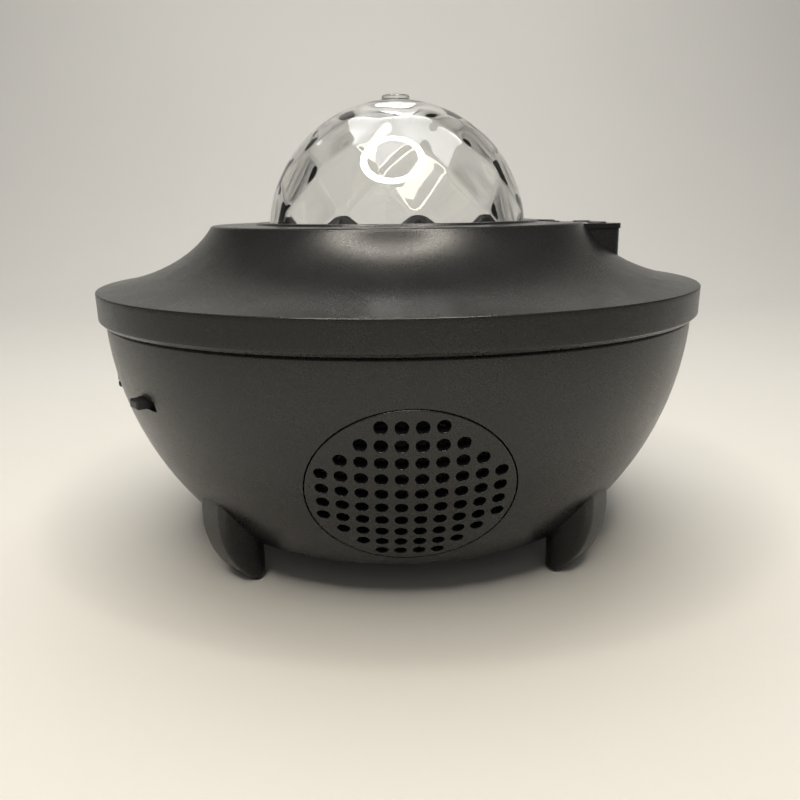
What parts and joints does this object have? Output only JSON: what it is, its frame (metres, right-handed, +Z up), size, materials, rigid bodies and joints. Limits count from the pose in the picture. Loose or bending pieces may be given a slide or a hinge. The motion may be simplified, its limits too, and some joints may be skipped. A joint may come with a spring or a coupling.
{
  "type": "star and wave projector with speaker",
  "caption": "Table-top light projector: bowl with moulded legs, flared cover, clear dome with inside facets over a geared wave disc and lamp, control pad and round speaker grille.",
  "frame": {"origin": "centre of the footprint, on the surface that the rubber feet stand on", "axes": "+Z up, -Y the front with the speaker grille, +X the side with the control pad"},
  "size_m": [0.168, 0.168, 0.1253],
  "materials": {
    "housing": "fine spark-eroded black ABS",
    "clear_dome": "clear polycarbonate, polished facets",
    "clear_optic": "clear acrylic",
    "pad_gloss": "polished black ABS",
    "button": "satin moulded black plastic",
    "foot_rubber": "matt moulded rubber",
    "inner_plastic": "moulded black plastic",
    "gear_plastic": "natural white acetal",
    "steel_screw": "zinc-plated steel",
    "heat_sink_aluminium": "extruded aluminium",
    "lamp_board": "white circuit board",
    "lamp_chip": "lamp chips with clear lenses",
    "motor_case": "drawn steel can",
    "laser_brass": "turned brass",
    "speaker_frame_paint": "black painted steel",
    "magnet": "ferrite magnet with plated plates",
    "foam": "black sealing foam",
    "surround_rubber": "satin rubber",
    "cone_foil": "spun aluminium cone",
    "circuit_board": "green circuit board",
    "chip": "black moulded chips",
    "capacitor_can": "aluminium cans",
    "socket_shell": "nickel-plated steel",
    "socket_plastic": "black moulded plastic",
    "indicator": "smoke-tinted lamp"
  },
  "bodies": {
    "housing": {"top_cover": "housing", "lower_shell": "housing", "speaker_grille": "housing", "rubber_feet": "foot_rubber", "housing_screws": "steel_screw", "crystal_dome": "clear_dome", "optics_deck": "inner_plastic", "deck_screws": "steel_screw", "lamp_plate": "inner_plastic", "lamp_plate_screws": "steel_screw", "heat_sink": "heat_sink_aluminium", "led_board": "lamp_board", "led_emitters": "lamp_chip", "lens_holder": "inner_plastic", "condenser_lens": "clear_optic", "lamp_screws": "steel_screw", "wave_motor": "motor_case", "motor_screws": "steel_screw", "control_plate": "pad_gloss", "star_window": "clear_optic", "button_board": "circuit_board", "tact_switches": "chip", "button_board_screws": "steel_screw", "star_bracket": "inner_plastic", "star_bracket_screws": "steel_screw", "laser_barrel": "laser_brass", "laser_lens": "clear_optic", "star_motor": "motor_case", "speaker_gasket": "foam", "speaker_frame": "speaker_frame_paint", "speaker_magnet": "magnet", "speaker_surround": "surround_rubber", "speaker_screws": "steel_screw", "main_board": "circuit_board", "main_board_screws": "steel_screw", "board_chips": "chip", "board_capacitors": "capacitor_can", "usb_socket": "socket_shell", "power_socket": "socket_plastic", "indicator_lamp": "indicator", "slide_switch": "socket_plastic", "switch_screws": "steel_screw"},
    "wave_ring": {"ring_gear": "gear_plastic", "wave_disc": "clear_optic"},
    "drive_pinion": {"motor_pinion": "gear_plastic"},
    "star_wheel": {"grating_wheel": "clear_optic"},
    "cone": {"speaker_cone": "cone_foil"},
    "knob": {"switch_knob": "button"},
    "power_button_body": {"power_button": "button"},
    "light_button_body": {"light_button": "button"},
    "star_button_body": {"star_button": "button"},
    "sound_button_body": {"sound_button": "button"}
  },
  "joints": [
    {"name": "wave_spin", "type": "hinge", "parent": "housing", "child": "wave_ring", "pos_m": [0, 0, 0.0782], "axis": [0, 0, 1], "continuous": true},
    {"name": "pinion_spin", "type": "hinge", "parent": "housing", "child": "drive_pinion", "pos_m": [0, 0.036, 0.0782], "axis": [0, 0, 1], "continuous": true},
    {"name": "star_spin", "type": "hinge", "parent": "housing", "child": "star_wheel", "pos_m": [0.0516, 0.0099, 0.0746], "axis": [0, 0, 1], "continuous": true},
    {"name": "cone_travel", "type": "slide", "parent": "housing", "child": "cone", "axis": [0, -0.8886, -0.4587], "range_m": [-0.0008, 0.0008], "stiffness_N_per_m": 1000},
    {"name": "switch_slide", "type": "slide", "parent": "housing", "child": "knob", "axis": [0.6252, -0.7804, 0], "range_m": [0, 0.004]},
    {"name": "power_button_press", "type": "slide", "parent": "housing", "child": "power_button_body", "axis": [0, 0, -1], "range_m": [0, 0.0006], "stiffness_N_per_m": 1500, "springref_m": -0.0002},
    {"name": "light_button_press", "type": "slide", "parent": "housing", "child": "light_button_body", "axis": [0, 0, -1], "range_m": [0, 0.0006], "stiffness_N_per_m": 1500, "springref_m": -0.0002},
    {"name": "star_button_press", "type": "slide", "parent": "housing", "child": "star_button_body", "axis": [0, 0, -1], "range_m": [0, 0.0006], "stiffness_N_per_m": 1500, "springref_m": -0.0002},
    {"name": "sound_button_press", "type": "slide", "parent": "housing", "child": "sound_button_body", "axis": [0, 0, -1], "range_m": [0, 0.0006], "stiffness_N_per_m": 1500, "springref_m": -0.0002}
  ],
  "couplings": [
    {"joint": "pinion_spin", "follows": "wave_spin", "ratio": -5}
  ]
}
